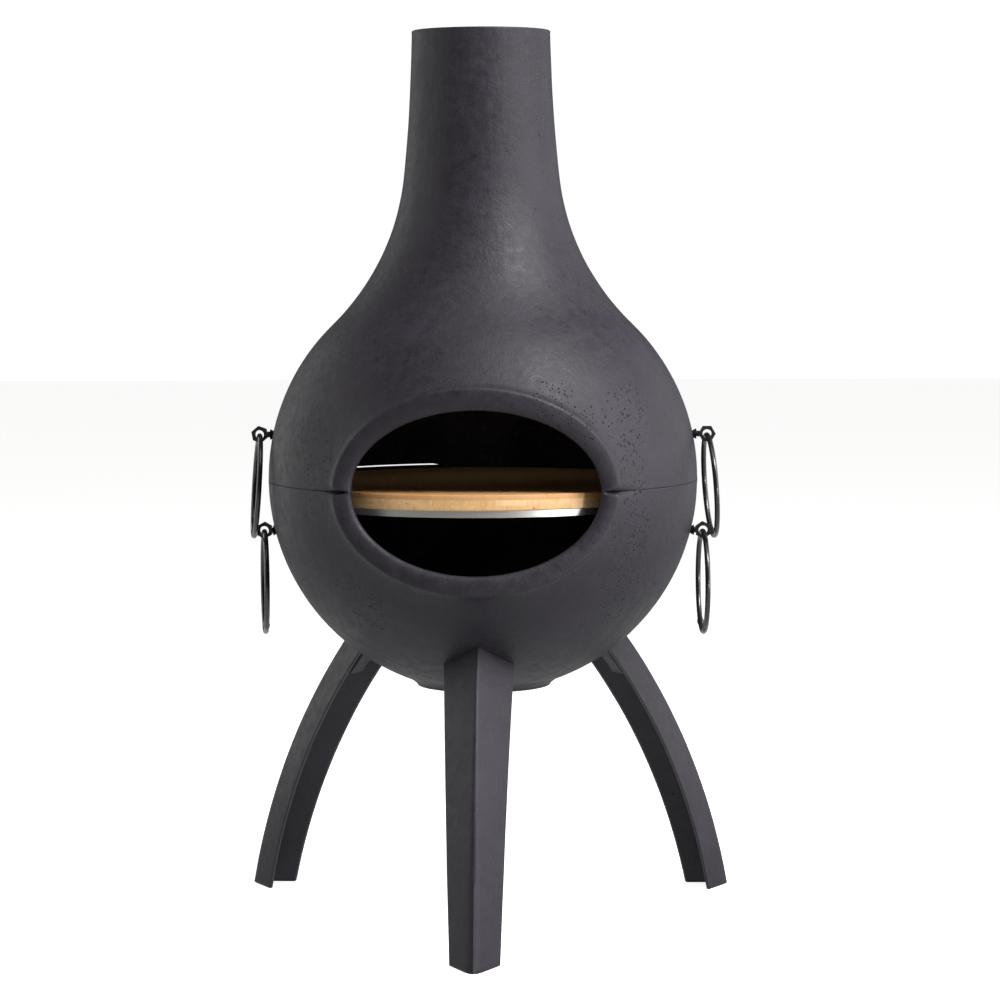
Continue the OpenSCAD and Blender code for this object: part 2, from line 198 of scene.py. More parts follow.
class Sheet:
    """Collects grids of points as one mesh."""

    def __init__(self):
        self.points = []
        self.faces = []
        self.kinds = []

    def grid(self, rows, kind=0, closed=False):
        """Faces between rows of points; closed joins each row's end to its start."""
        first = len(self.points)
        wide = len(rows[0])
        for row in rows:
            self.points.extend(row)
        for i in range(len(rows) - 1):
            for j in range(wide if closed else wide - 1):
                k = (j + 1) % wide
                a = first + i * wide
                b = a + wide
                self.face([a + j, a + k, b + k, b + j], kind(i) if callable(kind) else kind)

    def face(self, corners, kind=0):
        self.faces.append(corners)
        self.kinds.append(kind)

    def fan(self, ring):
        """One face that fills a ring of points."""
        first = len(self.points)
        self.points.extend(ring)
        self.face(list(range(first, first + len(ring))))

    def bar(self, rows):
        """A bar through rings of points, with both ends filled."""
        self.grid(rows, closed=True)
        self.fan(rows[0])
        self.fan(rows[-1])

    def piece(self, name, materials, smooth_angle=35):
        """An object from the sheet, whose points are about the body's axis, with outward smooth faces."""
        mesh = bpy.data.meshes.new(name)
        mesh.from_pydata([(x, y + AXIS_Y, z) for x, y, z in self.points], [], self.faces)
        mesh.polygons.foreach_set("material_index", self.kinds)
        for material in materials:
            mesh.materials.append(material)
        bm = bmesh.new()
        bm.from_mesh(mesh)
        bmesh.ops.remove_doubles(bm, verts=bm.verts, dist=WELD_DISTANCE)
        bmesh.ops.dissolve_degenerate(bm, edges=bm.edges, dist=WELD_DISTANCE / 10)
        bmesh.ops.recalc_face_normals(bm, faces=bm.faces)
        for face in bm.faces:
            face.smooth = True
        bm.to_mesh(mesh)
        bm.free()
        mesh.set_sharp_from_angle(angle=rad(smooth_angle))
        piece = bpy.data.objects.new(name, mesh)
        bpy.context.scene.collection.objects.link(piece)
        return piece


def lathe(outline, around):
    """A turned form from (radius, height) points."""
    sheet = Sheet()
    turns = [TAU * i / around for i in range(around)]
    sheet.grid([[(r * cos(t), r * sin(t), z) for t in turns] for r, z in outline], closed=True)
    return sheet


def quarter(r, z, size, start, steps=4):
    """A quarter of a circle about (r, z), from an angle on, as (radius, height) points."""
    turns = [start + rad(90) * i / steps for i in range(steps + 1)]
    return [(r + size * cos(t), z + size * sin(t)) for t in turns]


def rounded(corners, radii, steps=4):
    """A polygon's corners, each rounded with its own radius."""
    out = []
    count = len(corners)
    for i in range(count):
        p = Vector(corners[i])
        a = Vector(corners[i - 1]) - p
        b = Vector(corners[(i + 1) % count]) - p
        half = a.angle(b) / 2
        reach = min(radii[i] / tan(half), 0.45 * a.length, 0.45 * b.length)
        start = p + a.normalized() * reach
        end = p + b.normalized() * reach
        for k in range(steps + 1):
            t = k / steps
            out.append(tuple(start * (1 - t) ** 2 + p * 2 * t * (1 - t) + end * t * t))
    return out


def on_body(piece, body, slot_name, *nodes):
    """Puts a piece on its body and hides the frame's nodes that it stands for; the slot name is not used."""
    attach(piece, body)
    if nodes:
        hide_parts(*nodes)
    return piece


# ---------------------------------------------------------------- hood and bowl

SIDE_ROWS = 30
TOP_COLUMNS = 54
BACK_COLUMNS = 114
PATCH_HALF = rad(58)
PATCH_CORNER = rad(60)
LIP_STEPS = (
    0, 0.008, 0.03, 0.07, 0.13, 0.21, 0.31, 0.43, 0.55, 0.67, 0.77, 0.86, 0.93, 1.0,
    1.07, 1.15, 1.24, 1.36, 1.5, 1.7, 1.92, 2.14, 2.38,
)
SEAM_ROUND = 0.8 * MM
LIP_END_ROUND = 8 * MM
REACH_STEPS = 7
GAP_FROM, GAP_TO = rad(195), rad(238)
GAP_HEIGHT = 1.7 * MM
GAP_SOFT = rad(1.1)
GAP_FADE = 14 * MM
DROP_WIDTH = 3.5 * MM
LIP_BLEND = 0.7 * MM


def wave(p, depth):
    """Slow unevenness of the casting, always inwards."""
    v = Vector(p)
    slow, middle, fast = (noise.noise(p) for p in (v * 13, v * 31 + Vector((7, 3, 1)), v * 74))
    return depth * (0.6 * slow + 0.3 * middle + 0.1 * fast - 0.75)


def seam_gap(angle):
    """Height of the relief in the hood's edge at an angle round from the front."""
    start = min(max((angle - GAP_FROM) / GAP_SOFT, 0), 1)
    end = min(max((GAP_TO - angle) / GAP_SOFT, 0), 1)
    return GAP_HEIGHT * start * end


def lip_height(w, s):
    """How far the lip stands off the ball, w from the opening's edge: a roll, a crest, then a valley."""
    crest = s.lip_width
    tall = s.lip_height + s.wall
    u = min(w / crest, 1)
    roll = -s.wall + tall * (0.55 * sqrt(1 - (1 - u) ** 2) + 0.45 * u) + 0.0012
    t = min(max((w - crest) / s.lip_fillet, 0), 1)
    drop = max(1 - (w - crest) / DROP_WIDTH, 0)
    fillet = s.lip_height * (0.66 * (1 - t) ** 2.3 + 0.34 * drop) + 0.0014 * drop
    if w > crest * 1.3:
        return fillet
    if w < 1e-6:
        return -s.wall
    # The lower of the two curves, with a soft change from one to the other
    roll += max(w - crest, 0) * 0.3
    return -LIP_BLEND * log(exp(-roll / LIP_BLEND) + exp(-fillet / LIP_BLEND))


def body_half(name, upper, s, materials):
    """The hood (upper) or the bowl: outer skin, lip, inner skin, joint face, and neck or floor."""
    sign = 1 if upper else -1
    inner_r = BODY_R - s.wall
    seam = SEAM_Z if upper else SEAM_Z - 0.1 * MM
    zc = BALL_Z

    def height(r):
        return sign * (zc - seam) + r * sin(s.neck_start)

    tall = height(BODY_R)
    rows_z = [0, 0.27 * MM, 0.8 * MM] + [tall * (i / SIDE_ROWS) ** 1.5 for i in range(2, SIDE_ROWS + 1)]
    crest_r = s.mouth_height + s.lip_width

    def ray_angle(z):
        return z / crest_r - (tall / crest_r - PATCH_CORNER) * (z / tall) ** 2

    def settle(x, y, z):
        """A point of the outer skin, with the joint's edge rounded and the casting's waves."""
        dz = abs(z - seam)
        d = Vector((x, y, z - zc)).normalized()
        shift = wave((x, y, z), s.unevenness) * min(dz / 0.004, 1)
        if dz < SEAM_ROUND:
            shift -= SEAM_ROUND - sqrt(SEAM_ROUND**2 - (SEAM_ROUND - dz) ** 2)
        return (x + d.x * shift, y + d.y * shift, z if dz < 1e-7 else z + d.z * shift)

    def sphere_point(x, z, h, outer):
        r = BODY_R + h
        if outer and h > 0:
            near = min(max(abs(z - seam) - 0.0006, 0) / (0.7 * LIP_END_ROUND), 1)
            r = BODY_R + h * sqrt(1 - (1 - near) ** 2)
        y = -sqrt(max(r * r - x * x - (z - zc) ** 2, 0))
        return settle(x, y, z) if outer else (x, y, z)

    # Rays from the mouth: one for each row of the patch's right side, its top and its left side
    angles = [ray_angle(z) for z in rows_z]
    targets = [(a, PATCH_HALF, z) for a, z in zip(angles, rows_z)]
    for j in range(1, TOP_COLUMNS):
        t = j / TOP_COLUMNS
        phi = lerp(PATCH_CORNER, pi - PATCH_CORNER, t)
        targets.append((phi, lerp(PATCH_HALF, -PATCH_HALF, t), tall))
    targets += [(pi - a, -PATCH_HALF, z) for a, z in zip(reversed(angles), reversed(rows_z))]

    def ray(phi, azimuth, z_side, outer):
        """Points from the opening's edge to the patch's border."""
        stretch = 1 + (0.17 if upper else 0.03) * sin(phi) ** 2
        points = []
        lift = sign * sin(phi)
        for step in LIP_STEPS:
            w = step * s.lip_width
            x = (s.mouth_width + w * stretch) * cos(phi)
            z = seam + (s.mouth_height + w * stretch) * lift
            # Near the joint the crest turns in towards the mouth, so each lip has a rounded end
            near = min(abs(z - seam) / LIP_END_ROUND, 1)
            turn_in = LIP_END_ROUND * (1 - sqrt(1 - (1 - near) ** 2)) * min(w / (0.4 * s.lip_width), 1)
            h = lip_height(w + turn_in, s) if outer else -s.wall
            points.append((x, z, h))
        x0, z0, h0 = points[-1]
        r = BODY_R if outer else inner_r
        zb = z_side * height(r) / tall
        off = sign * zb + seam - zc
        xb = sqrt(r * r - off * off) * sin(azimuth)
        for k in range(1, REACH_STEPS + 1):
            t = k / REACH_STEPS
            points.append((lerp(x0, xb, t), lerp(z0, zc + off, t), lerp(h0, r - BODY_R, t)))
        return [sphere_point(x, z, h, outer) for x, z, h in points]

    def column(azimuth, outer):
        """Points up the back part, from the joint to the neck or floor."""
        r = BODY_R if outer else inner_r
        points = []
        gap = seam_gap(azimuth) if upper else 0
        for z in rows_z:
            zb = z * height(r) / tall + gap * max(1 - z / GAP_FADE, 0)
            off = sign * zb + seam - zc
            flat = sqrt(r * r - off * off)
            x, y = flat * sin(azimuth), -flat * cos(azimuth)
            if outer:
                d = abs(off + zc - seam) if gap == 0 else z
                x, y, z2 = settle(x, y, zc + off)
                if gap and d < SEAM_ROUND:
                    cut = SEAM_ROUND - sqrt(SEAM_ROUND**2 - (SEAM_ROUND - d) ** 2)
                    x, y = x * (1 - cut / r), y * (1 - cut / r)
                points.append((x, y, z2))
            else:
                points.append((x, y, zc + off))
        return points

    sheet = Sheet()
    rays = [[ray(*t, outer) for t in targets] for outer in (True, False)]
    # Both skins meet in the mouth's edge
    for outside, inside in zip(*rays):
        inside[0] = outside[0]
    for kind in (0, 1):
        sheet.grid(rays[kind], kind)
    for end in (0, -1):
        sheet.grid([skin[end] for skin in rays])
    around = [lerp(PATCH_HALF, TAU - PATCH_HALF, i / BACK_COLUMNS) for i in range(BACK_COLUMNS + 1)]
    columns = [[column(a, outer) for a in around] for outer in (True, False)]
    # The patch's border and the back part share their points
    borders = [[r[-1] for r in skin] for skin in rays]
    n = len(rows_z)
    for kind in (0, 1):
        columns[kind][0] = borders[kind][:n]
        columns[kind][-1] = borders[kind][: -n - 1 : -1]
        sheet.grid(columns[kind], kind)
    sheet.grid([[c[0] for c in skin] for skin in columns])
    # Rings that close the half: neck, rim and flue, or pad and floor
    top, last = ([c[-1] for c in columns[k]] + borders[k][-n - 1 : n - 1 : -1] for k in (0, 1))
    turns = around + [lerp(-PATCH_HALF, PATCH_HALF, j / TOP_COLUMNS) for j in range(1, TOP_COLUMNS)]
    outline, split = neck_outline(s) if upper else floor_outline(s)
    rings = [top]
    for r, z, slope in outline:
        ring = []
        for a in turns:
            x, y, up = r * sin(a), -r * cos(a), z
            if slope is not None:
                shift = wave((x, y, z), s.unevenness)
                flat = cos(slope) * shift
                x, y, up = x + sin(a) * flat, y - cos(a) * flat, z + sin(slope) * shift
            ring.append((x, y, up))
        rings.append(ring)
    rings.append(last)
    sheet.grid(rings, lambda i: 0 if i < split else 1, closed=True)
    return sheet.piece(name, materials, 40)


def neck_outline(s):
    """Neck, chimney, rim and flue as (radius, height, slope of the normal or None where it is plain)."""
    out = []
    cr = (BODY_R + s.neck_arc) * cos(s.neck_start)
    cz = BALL_Z + (BODY_R + s.neck_arc) * sin(s.neck_start)

    def neck(t, inset):
        return cr - (s.neck_arc + inset) * cos(t), cz - (s.neck_arc + inset) * sin(t)

    r0, z0 = neck(s.chimney_slope, 0)
    arc = (TOP_Z - z0) / (sin(s.chimney_slope) - sin(s.rim_slope))
    hr = r0 + arc * cos(s.chimney_slope)
    hz = z0 + arc * sin(s.chimney_slope)

    def chimney(t, inset):
        return hr - (arc + inset) * cos(t), hz - (arc + inset) * sin(t)

    steps = 34
    for i in range(1, steps + 1):
        t = lerp(s.neck_start, s.chimney_slope, i / steps)
        out.append((*neck(t, 0), t))
    soft = 1.8 * MM
    for i in range(1, steps + 1):
        t = lerp(s.chimney_slope, s.rim_slope, i / steps)
        r, z = chimney(t, 0)
        if z < TOP_Z - soft - 0.001:
            out.append((r, z, t))
    rim_r = chimney(s.rim_slope, 0)[0]
    edge = 1.2 * MM
    rim = quarter(rim_r - soft, TOP_Z - soft, soft, 0, 5)
    rim += quarter(s.flue + edge, TOP_Z - edge, edge, rad(90))
    out += [(r, z, None) for r, z in rim]
    split = len(out)
    for z in (TOP_Z - 0.012, TOP_Z - 0.03, TOP_Z - 0.06):
        out.append((s.flue, z, None))
    for i in range(14):
        t = lerp(rad(2.6), s.chimney_slope, i / 13)
        r, z = chimney(t, s.wall)
        if z < TOP_Z - 0.066:
            out.append((r, z, None))
    for i in range(1, 24):
        t = lerp(s.chimney_slope, s.neck_start, i / 24)
        out.append((*neck(t, s.wall), None))
    return out, split


def floor_outline(s):
    """The bowl's underside, pad and inner floor, as in neck_outline."""
    out = []
    pad_start = rad(69.4)
    for i in range(1, 13):
        t = lerp(s.neck_start, pad_start, i / 12)
        out.append((BODY_R * cos(t), BALL_Z - BODY_R * sin(t), -t))
    drop = BALL_Z - BODY_R * sin(pad_start) - PAD_Z
    for r, k in ((82.3, 0.80), (80, 0.62), (78.2, 0.45), (77, 0.30), (76.3, 0.2)):
        out.append((r * MM, PAD_Z + drop * k, None))
    for r, z in ((76, 1.0), (75.7, 0.5), (75.1, 0.15), (74.2, 0), (60, 0), (40, 0), (20, 0), (8, 0), (0, 0)):
        out.append((r * MM, PAD_Z + z * MM, None))
    split = len(out)
    floor_z = PAD_Z + s.wall
    inner_r = BODY_R - s.wall
    out += [(r * MM, floor_z, None) for r in (0, 8, 25, 45)]
    edge = asin((BALL_Z - floor_z) / inner_r)
    for i in range(12):
        t = lerp(edge, s.neck_start, i / 12)
        out.append((inner_r * cos(t), BALL_Z - inner_r * sin(t), None))
    return out, split


# ---------------------------------------------------------------- legs

LEG_ROWS = 64
LEG_ANGLES = (("front_leg", 270), ("rear_right_leg", 30), ("rear_left_leg", 150))
LEDGE_ANGLES = (90, 210, 330)
LEG_WAVE = 0.45 * MM


def meet(test, low, high, rounds=26):
    """The value between low and high up to which the test holds."""
    for _ in range(rounds):
        mid = (low + high) / 2
        if test(mid):
            low = mid
        else:
            high = mid
    return low


def outside_ball(point, depth=1.2 * MM):
    return Vector((point[0], point[1], point[2] - BALL_Z)).length > BODY_R - depth


def leg_piece(name, angle, s, materials):
    """A leg of angle section along its curve, cut to the ball and the floor, with the boss in its top."""

    def ridge(a):
        return (
            FOOT_R - s.arc * (cos(s.foot_slope) - cos(a)),
            s.arc * (sin(a) - sin(s.foot_slope)),
        )

    def place(a, depth, side):
        r, z = ridge(a)
        r, z = r - depth * cos(a), z - depth * sin(a)
        c, n = cos(rad(angle)), sin(rad(angle))
        return (r * c - side * n, r * n + side * c, z)

    def section(a):
        w = lerp(s.foot_width, s.top_width, (a - s.foot_slope) / (s.top_slope - s.foot_slope))
        half = atan(w / s.depth)
        ridge_round = lerp(s.foot_round, s.ridge_round, min((a - s.foot_slope) / rad(24), 1))
        # The sharp corner lies further out, so the rounded ridge keeps its place
        tip = -0.93 * ridge_round * (1 / sin(half) - 1)
        half = atan(w / (s.depth - tip))
        inner = w - s.flange / cos(half)
        root = tip + s.flange / sin(half)
        corners = [(tip, 0), (s.depth, w), (s.depth, inner), (root, 0), (s.depth, -inner), (s.depth, -w)]
        e = s.edge_round
        return rounded(corners, [ridge_round, e, e, max(ridge_round - s.flange, 0.004), e, e])

    # Each line of the section runs from the slope at the floor to the one where it meets the ball
    count = len(section(s.foot_slope))
    low_end, high_end = rad(6), s.top_slope + rad(6)
    lines = []
    for k in range(count):
        foot = meet(lambda a: place(a, *section(a)[k])[2] < 0, low_end, high_end)
        tip = meet(lambda a: outside_ball(place(a, *section(a)[k])), foot, high_end)
        lines.append((foot, tip))
    sheet = Sheet()
    rows = []
    for i in range(LEG_ROWS + 1):
        t = i / LEG_ROWS
        row = []
        for k, (foot, tip) in enumerate(lines):
            a = lerp(foot, tip, t)
            depth, side = section(a)[k]
            x, y, z = place(a, depth, side)
            n = wave((x, y, z), LEG_WAVE)
            row.append((x + n * cos(rad(angle)), y + n * sin(rad(angle)), z))
        rows.append(row)
    # The foot's edge is slightly rounded
    middle = [sum(p[i] for p in rows[0]) / count for i in range(3)]
    foot_row = [(lerp(x, middle[0], 0.02), lerp(y, middle[1], 0.02), 0.0) for x, y, _ in rows[0]]
    lifted = [(x, y, 0.0007) for x, y, _ in rows[0]]
    rows = [foot_row, lifted] + rows[1:]
    sheet.grid(rows, closed=True)
    for row in (rows[0], rows[-1]):
        close_section(sheet, row)
    boss(sheet, place, s)
    return sheet.piece(name, materials, 42)


def close_section(sheet, row):
    """Closes a leg's end: strips join the outer line of the angle to its inner line."""
    outer = [row[i % len(row)] for i in range(27, 38)]
    inner = [row[i] for i in range(22, 11, -1)]
    sheet.grid([outer, inner])
    sheet.fan(row[22:28])
    sheet.fan(row[7:13])


def boss(sheet, place, s):
    """The block in a leg's top that its bolt goes into."""
    slope, side, start, depth, cut_z = rad(37), 0.0135, 0.0045, 0.036, 0.262
    w = lerp(s.foot_width, s.top_width, (slope - s.foot_slope) / (s.top_slope - s.foot_slope))
    side_depth = start + side * s.depth / w
    corners = [(start, 0), (side_depth, side), (depth, side), (depth, -side), (side_depth, -side)]
    shape = rounded(corners, [0.001, 0.001, 0.0022, 0.0022, 0.001], 3)
    base = Vector(place(slope, 0, 0))
    across = Vector(place(slope, 0, 1)) - base
    back = Vector(place(slope, 1, 0)) - base
    along = across.cross(back).normalized()
    if along.z < 0:
        along = -along
    lines = []
    for d, y in shape:
        p = base + back * d + across * y
        low = (cut_z - p.z) / along.z
        lines.append((p, low, meet(lambda t: outside_ball(p + along * t), low, low + 0.2, 24)))
    steps = 6
    rows = [
        [tuple(p + along * lerp(low, high, i / steps)) for p, low, high in lines] for i in range(steps + 1)
    ]
    hub = Vector([sum(p[i] for p in rows[0]) / len(rows[0]) for i in range(3)])
    inset = [tuple(Vector(p).lerp(hub, 0.06)) for p in rows[0]]
    lifted = [tuple(Vector(p) + along * 0.001) for p in rows[0]]
    sheet.bar([inset, lifted] + rows[1:])


# ---------------------------------------------------------------- materials


class Nodes:
    """A node tree under construction."""

    def __init__(self, owner):
        owner.use_nodes = True
        self.tree = owner.node_tree
        self.tree.nodes.clear()

    def set(self, node, sockets):
        """Links or sets a node's inputs by name, with _ for a space, or by number after a _."""
        for key, value in sockets.items():
            socket = node.inputs[int(key[1:]) if key[0] == "_" else key.replace("_", " ")]
            if isinstance(value, bpy.types.NodeSocket):
                self.tree.links.new(value, socket)
            else:
                socket.default_value = value

    def node(self, kind, out=0, props=(), **sockets):
        """Adds a node and gives one of its outputs."""
        node = self.tree.nodes.new("ShaderNode" + kind)
        for key, value in dict(props).items():
            setattr(node, key, value)
        self.set(node, sockets)
        return node.outputs[out] if node.outputs else None


class Finish(Nodes):
    """A material under construction."""

    def __init__(self, name, **sockets):
        self.material = bpy.data.materials.new(name)
        super().__init__(self.material)
        shader = self.node("BsdfPrincipled", **sockets)
        self.shader = shader.node
        self.node("OutputMaterial", Surface=shader)
        self.here = self.node("TexCoord", "Object")
        self.normal = None

    def stretched(self, scale):
        return self.node("Mapping", Vector=self.here, Scale=scale)

    def noise(self, scale, detail, rough=0.5, vector=None, warp=0.0):
        sockets = {"Scale": scale, "Detail": detail, "Roughness": rough, "Distortion": warp}
        return self.node("TexNoise", Vector=vector or self.here, **sockets)

    def cells(self, scale, out="Distance"):
        return self.node("TexVoronoi", out, Vector=self.here, Scale=scale)

    def part(self, source, out):
        """One part of a place (X, Y or Z) or of a colour (Red, Green or Blue)."""
        return self.node("SeparateXYZ" if out in "XYZ" else "SeparateColor", out, _0=source)

    def math(self, op, a, b=0.0):
        return self.node("Math", props={"operation": op}, _0=a, _1=b)

    def times(self, a, b):
        return self.math("MULTIPLY", a, b)

    def plus(self, a, b):
        return self.math("ADD", a, b)

    def span(self, value, low, high, to_low=0.0, to_high=1.0):
        ends = {"From Min": low, "From Max": high, "To Min": to_low, "To Max": to_high}
        return self.node("MapRange", Value=value, **ends)

    def spots(self, scale, inner, outer, channel, limit):
        """Spots, full up to inner and gone from outer on, in the cells whose chance is over the limit."""
        chosen = self.math("GREATER_THAN", self.part(self.cells(scale, "Color"), channel), limit)
        return self.times(self.span(self.cells(scale), inner, outer, 1.0, 0.0), chosen)

    def mix(self, fac, a, b):
        a, b = ((*c, 1.0) if isinstance(c, tuple) else c for c in (a, b))
        return self.node("Mix", 2, {"data_type": "RGBA"}, _0=fac, _6=a, _7=b)

    def near(self, centre, radius):
        """1 at a point of the object and 0 from radius on."""
        far = self.node("VectorMath", 1, props={"operation": "DISTANCE"}, _0=self.here, _1=centre)
        return self.span(far, radius * 0.35, radius, 1.0, 0.0)

    def bump(self, height, distance, strength=1.0):
        sockets = {"Height": height, "Distance": distance, "Strength": strength}
        if self.normal:
            sockets["Normal"] = self.normal
        self.normal = self.node("Bump", **sockets)

    def done(self, colour, roughness):
        self.set(self.shader, {"Base Color": colour, "Roughness": roughness})
        if self.normal:
            self.set(self.shader, {"Normal": self.normal})
        return self.material


def tint(colour, factor):
    """A colour, darker or lighter by a factor."""
    return tuple(c * factor for c in colour)


# Places with more pin-holes on the front: distance from the axis, height and radius, in metres
PITTED = (
    (0.165, 0.588, 0.034), (0.167, 0.547, 0.030), (0.166, 0.508, 0.026), (0.166, 0.461, 0.036),
    (0.167, 0.431, 0.032), (0.157, 0.392, 0.034), (0.146, 0.366, 0.030), (0.128, 0.566, 0.026),
    (0.086, 0.592, 0.030), (-0.180, 0.562, 0.030), (-0.174, 0.527, 0.034), (-0.169, 0.486, 0.030),
    (-0.124, 0.376, 0.034), (-0.114, 0.350, 0.030), (0.182, 0.378, 0.024),
)


def cast_iron(colour):
    """Matt charcoal paint over sand-cast iron."""
    f = Finish("charcoal_cast_iron", Specular_IOR_Level=0.34)
    slow = f.noise(15.0, 3.0)
    middle = f.noise(85.0, 4.0, 0.6)
    fine = f.noise(430.0, 3.0, 0.6)
    sand = f.noise(1300.0, 2.0)
    streak = f.noise(150.0, 3.0, 0.55, f.stretched((1.0, 1.0, 0.09)), 0.4)
    neck = f.span(f.part(f.here, "Z"), 0.66, 0.74)
    patches = None
    for x, height, radius in PITTED:
        y = AXIS_Y - sqrt(BODY_R**2 - x * x - (height - BALL_Z) ** 2)
        spot = f.near((x, y, height), radius)
        patches = spot if patches is None else f.math("MAXIMUM", patches, spot)
    patches = f.span(f.plus(patches, f.times(slow, 0.25)), 0.16, 0.42)
    clump = f.times(f.span(f.noise(60.0, 2.0, 0.5), 0.36, 0.46), patches)
    small = f.spots(300.0, 0.26, 0.36, "Red", 0.66)
    large = f.spots(170.0, 0.18, 0.28, "Green", 0.78)
    lone = f.spots(110.0, 0.06, 0.11, "Blue", 0.955)
    pits = f.math("MAXIMUM", f.times(f.math("MAXIMUM", small, large), clump), lone)
    f.bump(slow, 0.0030, 0.5)
    f.bump(middle, 0.0011, 0.55)
    f.bump(f.times(streak, neck), 0.0007, 0.5)
    f.bump(fine, 0.00038, 0.65)
    f.bump(sand, 0.00009, 0.6)
    f.bump(f.times(pits, -1.0), 0.0018, 1.0)
    blotch = f.span(f.plus(f.times(slow, 0.5), f.times(middle, 0.5)), 0.38, 0.62)
    base = f.mix(blotch, tint(colour, 0.72), tint(colour, 1.28))
    base = f.mix(f.span(fine, 0.35, 0.7, 0.0, 0.45), base, tint(colour, 1.7))
    # The pin-holes are painted near black: painted shade inside the holes, on top of their dents
    base = f.mix(f.times(pits, 0.96), base, tint(colour, 0.05))
    return f.done(base, f.span(middle, 0.3, 0.7, 0.44, 0.60))


def sooted_iron(colour):
    """The inside of the casting, lighter than the outside paint: painted light in the dark cavity, with
    random lighter flakes.
    """
    f = Finish("sooted_iron", Specular_IOR_Level=0.2)
    slow = f.noise(12.0, 4.0)
    flakes = f.noise(160.0, 4.0, 0.6)
    grit = f.noise(900.0, 2.0)
    f.bump(slow, 0.002, 0.5)
    f.bump(flakes, 0.0008, 0.6)
    f.bump(grit, 0.0001, 0.5)
    base = f.mix(f.span(slow, 0.35, 0.65), tint(colour, 0.7), tint(colour, 1.8))
    base = f.mix(f.span(flakes, 0.55, 0.7, 0.0, 0.5), base, tint(colour, 3.0))
    return f.done(base, f.span(flakes, 0.3, 0.7, 0.78, 0.95))


def laminated_wood(pale, dark, strip):
    """Three glued layers of wooden strips."""
    f = Finish("laminated_wood", Specular_IOR_Level=0.35)
    low, high = BOARD_LOW.z, BOARD_HIGH.z
    x, y, z = (f.part(f.here, axis) for axis in "XYZ")
    layer = f.math("FLOOR", f.times(f.math("SUBTRACT", z, low - 1e-4), 3 / (high - low + 2e-4)))
    bend = f.times(f.math("SUBTRACT", f.noise(9.0, 1.0), 0.5), 0.010)
    shift = f.plus(f.times(layer, 0.37), f.math("DIVIDE", f.plus(x, bend), strip))
    row = f.math("FLOOR", shift)
    joint = f.plus(f.times(row, 0.61), f.math("DIVIDE", y, 0.26))
    block = f.math("FLOOR", joint)
    # Two chance values for each block of wood
    chance = f.node("TexWhiteNoise", "Value", Vector=f.node("CombineXYZ", X=row, Y=block, Z=layer))
    chance2 = f.node("TexWhiteNoise", "Value", Vector=f.node("CombineXYZ", X=layer, Y=row, Z=block))
    grain = f.noise(60.0, 5.0, 0.65, f.stretched((9.0, 0.35, 9.0)), 0.6)
    fibre = f.noise(260.0, 3.0, 0.7, f.stretched((9.0, 0.25, 9.0)))
    figure = f.noise(26.0, 3.0, 0.5, f.stretched((3.0, 0.5, 3.0)), 1.2)
    tone = f.plus(f.times(chance, 0.45), f.times(f.span(grain, 0.3, 0.7), 0.55))
    base = f.mix(tone, dark, pale)
    base = f.mix(f.span(figure, 0.48, 0.66, 0.0, 0.45), base, tint(dark, 0.82))
    base = f.mix(f.span(fibre, 0.58, 0.75, 0.0, 0.35), base, tint(dark, 0.6))
    base = f.mix(f.times(f.math("GREATER_THAN", chance2, 0.86), 0.35), base, (0.83, 0.62, 0.36))
    # The upper layer is a little darker and redder than the others
    upper = f.math("GREATER_THAN", layer, 1.5)
    base = f.mix(f.times(upper, 0.62), base, (0.56, 0.275, 0.095))
    lines = f.math("ABSOLUTE", f.math("SUBTRACT", f.math("FRACT", shift), 0.5))
    glue = f.span(lines, 0.488, 0.499)
    base = f.mix(f.times(glue, 0.3), base, tint(dark, 0.35))
    dots = f.spots(95.0, 0.08, 0.12, "Red", 0.82)
    base = f.mix(f.times(dots, 0.85), base, tint(dark, 0.12))
    f.bump(grain, 0.00025, 0.5)
    f.bump(fibre, 0.00012, 0.5)
    f.bump(f.times(f.math("MAXIMUM", glue, dots), -1.0), 0.0004, 0.6)
    return f.done(base, f.span(grain, 0.3, 0.7, 0.42, 0.56))


def bare_steel(colour):
    """Rolled steel, clouded and speckled by the first fires."""
    f = Finish("grill_steel", Metallic=0.92)
    cloud = f.noise(55.0, 4.0, 0.6)
    specks = f.noise(650.0, 3.0, 0.6)
    drawn = f.noise(420.0, 2.0, 0.5, f.stretched((1.0, 1.0, 0.08)))
    base = f.mix(f.span(cloud, 0.4, 0.62), colour, tint(colour, 0.62))
    base = f.mix(f.span(specks, 0.50, 0.62, 0.0, 0.62), base, (0.16, 0.13, 0.11))
    f.bump(cloud, 0.0004, 0.5)
    f.bump(specks, 0.00008, 0.6)
    f.bump(drawn, 0.00004, 0.5)
    return f.done(base, f.span(cloud, 0.3, 0.7, 0.30, 0.48))


def black_lacquer(colour):
    """Glossy black paint, worn through here and there."""
    f = Finish("black_lacquer", Specular_IOR_Level=0.5, Coat_Weight=0.6, Coat_Roughness=0.12)
    orange = f.noise(420.0, 2.0)
    worn = f.noise(240.0, 4.0, 0.65)
    f.bump(orange, 0.00008, 0.6)
    f.bump(worn, 0.00012, 0.4)
    base = f.mix(f.span(worn, 0.62, 0.72, 0.0, 0.5), colour, (0.045, 0.04, 0.037))
    return f.done(base, f.span(worn, 0.3, 0.7, 0.24, 0.36))


def plated_steel(colour):
    """Zinc plate, dulled in patches."""
    f = Finish("zinc_plate", Metallic=0.95)
    bloom = f.noise(300.0, 3.0, 0.6)
    crystals = f.cells(900.0)
    f.bump(crystals, 0.00005, 0.5)
    f.bump(bloom, 0.0001, 0.4)
    base = f.mix(f.span(bloom, 0.35, 0.65), tint(colour, 0.75), colour)
    base = f.mix(f.span(bloom, 0.60, 0.74, 0.0, 0.5), base, (0.20, 0.15, 0.10))
    return f.done(base, f.span(bloom, 0.3, 0.7, 0.30, 0.46))


